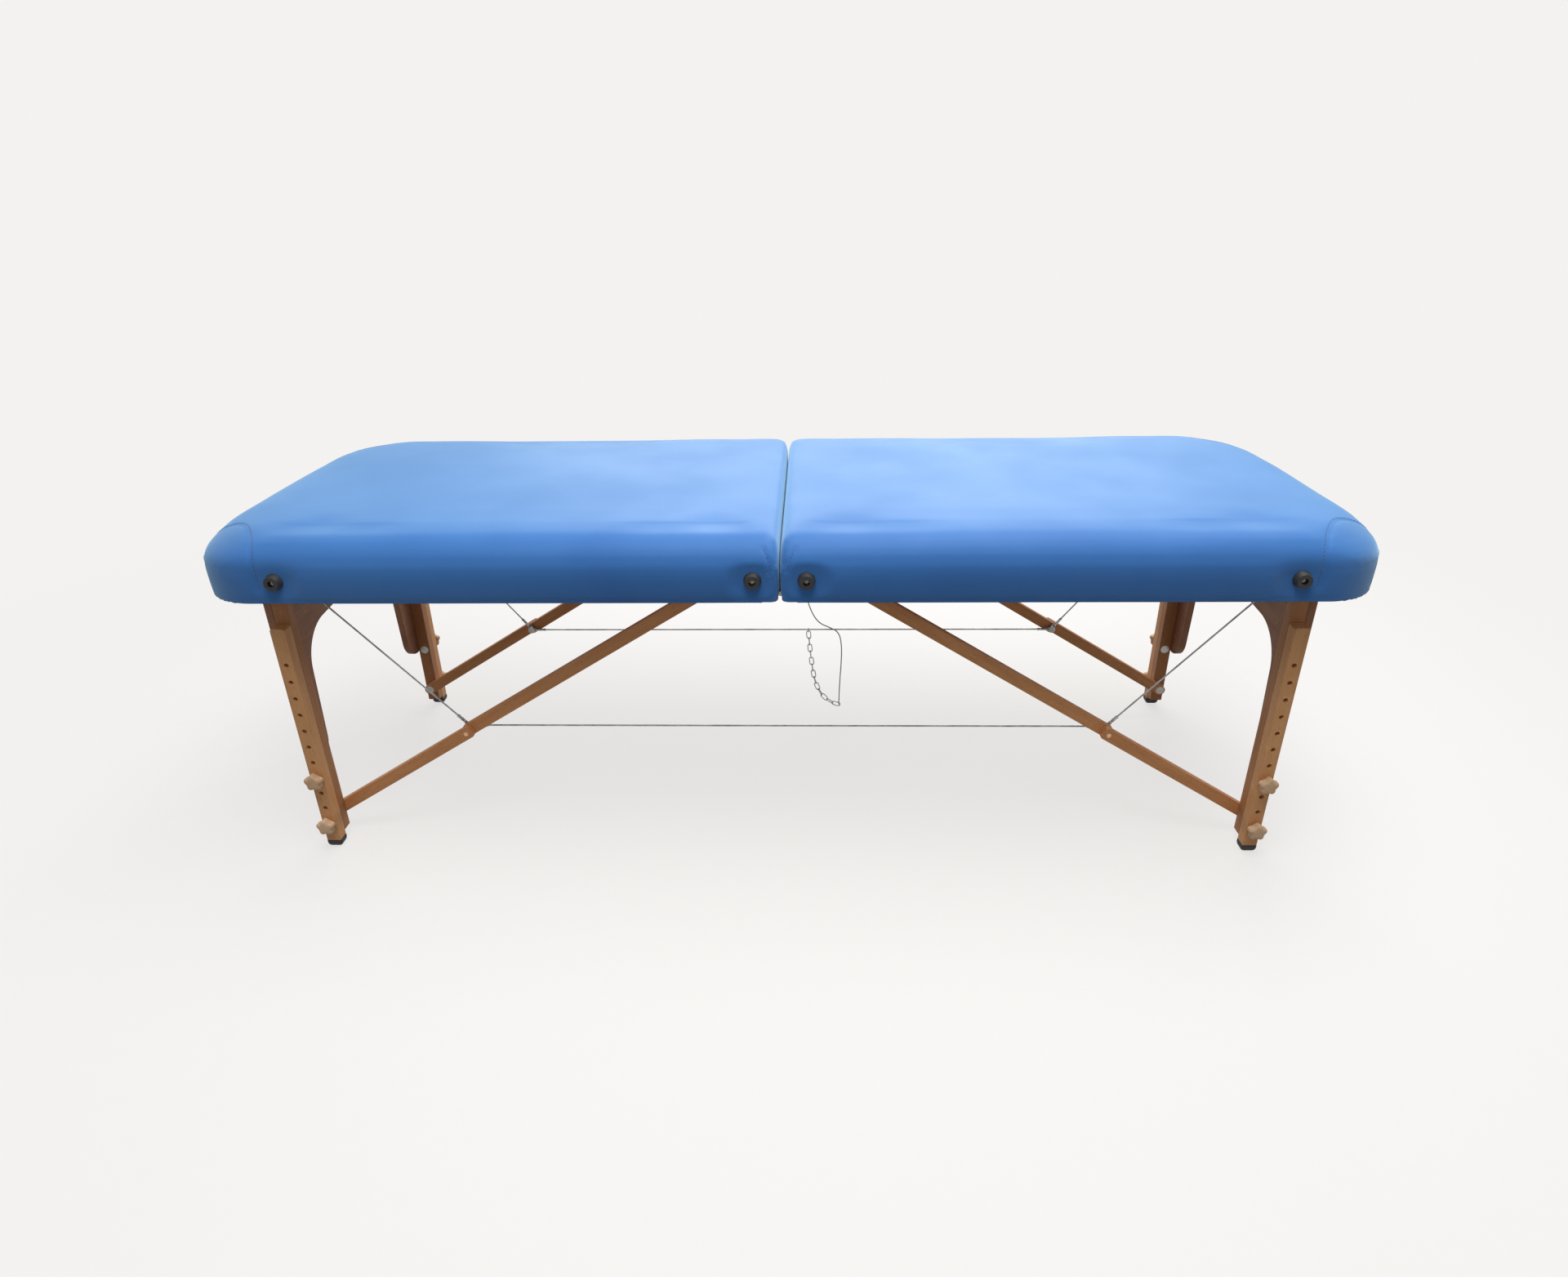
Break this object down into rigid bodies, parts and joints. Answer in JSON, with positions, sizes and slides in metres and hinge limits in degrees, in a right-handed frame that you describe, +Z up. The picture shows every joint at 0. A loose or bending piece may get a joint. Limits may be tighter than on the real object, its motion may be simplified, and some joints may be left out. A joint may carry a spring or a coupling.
{
  "type": "folding massage table",
  "caption": "Folding massage table with a padded vinyl top in two hinged halves, wooden legs of adjustable height, elbow braces and steel stay cables.",
  "frame": {"origin": "on the floor under the middle of the open table, legs at their lowest setting", "axes": "+X along the table to the right of the picture, +Y to the long side with the handles, +Z up"},
  "size_m": [1.85, 0.6746, 0.6063],
  "materials": {
    "vinyl": "soft satin vinyl",
    "foam": "open foam",
    "plywood": "plain",
    "beech": "clear lacquer",
    "pale_wood": "clear lacquer",
    "rubber": "matt",
    "steel": "zinc plated",
    "copper": "plain",
    "cable": "stranded",
    "webbing": "woven"
  },
  "bodies": {
    "hinge_pin": {"hinge_pin": "steel", "link_cables": "cable"},
    "left_half": {"left_cover": "vinyl", "left_foam": "foam", "left_deck": "plywood", "left_front_rail": "beech", "left_back_rail": "beech", "left_end_rail": "beech", "left_centre_rail": "beech", "left_hinge_leaf": "steel", "left_bumpers": "rubber", "left_handle": "webbing", "left_brackets": "steel", "left_pivot_bolts": "steel", "left_stay_cables": "cable"},
    "left_legs": {"left_front_post": "beech", "left_back_post": "beech", "left_end_panel": "beech", "left_leg_bolts": "steel", "left_knobs": "pale_wood"},
    "left_upper_braces": {"left_front_upper_brace": "beech", "left_back_upper_brace": "beech", "left_elbow_eyes": "steel"},
    "left_lower_braces": {"left_front_lower_brace": "beech", "left_back_lower_brace": "beech", "left_elbow_rivets": "copper"},
    "left_front_slide": {"left_front_extension": "beech", "left_front_foot": "rubber"},
    "left_back_slide": {"left_back_extension": "beech", "left_back_foot": "rubber"},
    "right_half": {"right_cover": "vinyl", "right_foam": "foam", "right_deck": "plywood", "right_front_rail": "beech", "right_back_rail": "beech", "right_end_rail": "beech", "right_centre_rail": "beech", "right_hinge_leaf": "steel", "right_bumpers": "rubber", "right_handle": "webbing", "right_brackets": "steel", "right_pivot_bolts": "steel", "right_stay_cables": "cable", "hanging_chain": "cable"},
    "right_legs": {"right_front_post": "beech", "right_back_post": "beech", "right_end_panel": "beech", "right_leg_bolts": "steel", "right_knobs": "pale_wood"},
    "right_upper_braces": {"right_front_upper_brace": "beech", "right_back_upper_brace": "beech", "right_elbow_eyes": "steel"},
    "right_lower_braces": {"right_front_lower_brace": "beech", "right_back_lower_brace": "beech", "right_elbow_rivets": "copper"},
    "right_front_slide": {"right_front_extension": "beech", "right_front_foot": "rubber"},
    "right_back_slide": {"right_back_extension": "beech", "right_back_foot": "rubber"}
  },
  "joints": [
    {"name": "fold", "type": "hinge", "parent": "left_half", "child": "hinge_pin", "pos_m": [0, 0, 0.5035], "axis": [0, 1, 0], "range_deg": [0, 90], "deforming": ["left_stay_cables", "right_stay_cables", "link_cables", "hanging_chain"]},
    {"name": "close", "type": "hinge", "parent": "hinge_pin", "child": "right_half", "pos_m": [0, 0, 0.5035], "axis": [0, 1, 0], "range_deg": [0, 90], "deforming": ["left_stay_cables", "right_stay_cables", "link_cables", "hanging_chain"]},
    {"name": "left_leg_fold", "type": "hinge", "parent": "left_half", "child": "left_legs", "pos_m": [-0.826, 0, 0.534], "axis": [0, -1, 0], "range_deg": [0, 90]},
    {"name": "left_upper_brace_fold", "type": "hinge", "parent": "left_half", "child": "left_upper_braces", "pos_m": [-0.045, 0, 0.534], "axis": [0, 1, 0], "range_deg": [0, 32.76]},
    {"name": "left_lower_brace_fold", "type": "hinge", "parent": "left_legs", "child": "left_lower_braces", "pos_m": [-0.826, 0, 0.054], "axis": [0, -1, 0], "range_deg": [0, 56.11]},
    {"name": "left_front_leg_slide", "type": "slide", "parent": "left_legs", "child": "left_front_slide", "axis": [0, 0, -1], "range_m": [0, 0.192]},
    {"name": "left_back_leg_slide", "type": "slide", "parent": "left_legs", "child": "left_back_slide", "axis": [0, 0, -1], "range_m": [0, 0.192]},
    {"name": "right_leg_fold", "type": "hinge", "parent": "right_half", "child": "right_legs", "pos_m": [0.826, 0, 0.534], "axis": [0, 1, 0], "range_deg": [0, 90]},
    {"name": "right_upper_brace_fold", "type": "hinge", "parent": "right_half", "child": "right_upper_braces", "pos_m": [0.045, 0, 0.534], "axis": [0, -1, 0], "range_deg": [0, 32.76]},
    {"name": "right_lower_brace_fold", "type": "hinge", "parent": "right_legs", "child": "right_lower_braces", "pos_m": [0.826, 0, 0.054], "axis": [0, 1, 0], "range_deg": [0, 56.11]},
    {"name": "right_front_leg_slide", "type": "slide", "parent": "right_legs", "child": "right_front_slide", "axis": [0, 0, -1], "range_m": [0, 0.192]},
    {"name": "right_back_leg_slide", "type": "slide", "parent": "right_legs", "child": "right_back_slide", "axis": [0, 0, -1], "range_m": [0, 0.192]}
  ],
  "couplings": [
    {"joint": "left_leg_fold", "follows": "fold", "ratio": 1},
    {"joint": "left_upper_brace_fold", "follows": "fold", "ratio": 0.3639},
    {"joint": "left_lower_brace_fold", "follows": "fold", "ratio": 0.62332},
    {"joint": "right_leg_fold", "follows": "fold", "ratio": 1},
    {"joint": "right_upper_brace_fold", "follows": "fold", "ratio": 0.3639},
    {"joint": "right_lower_brace_fold", "follows": "fold", "ratio": 0.62332}
  ]
}
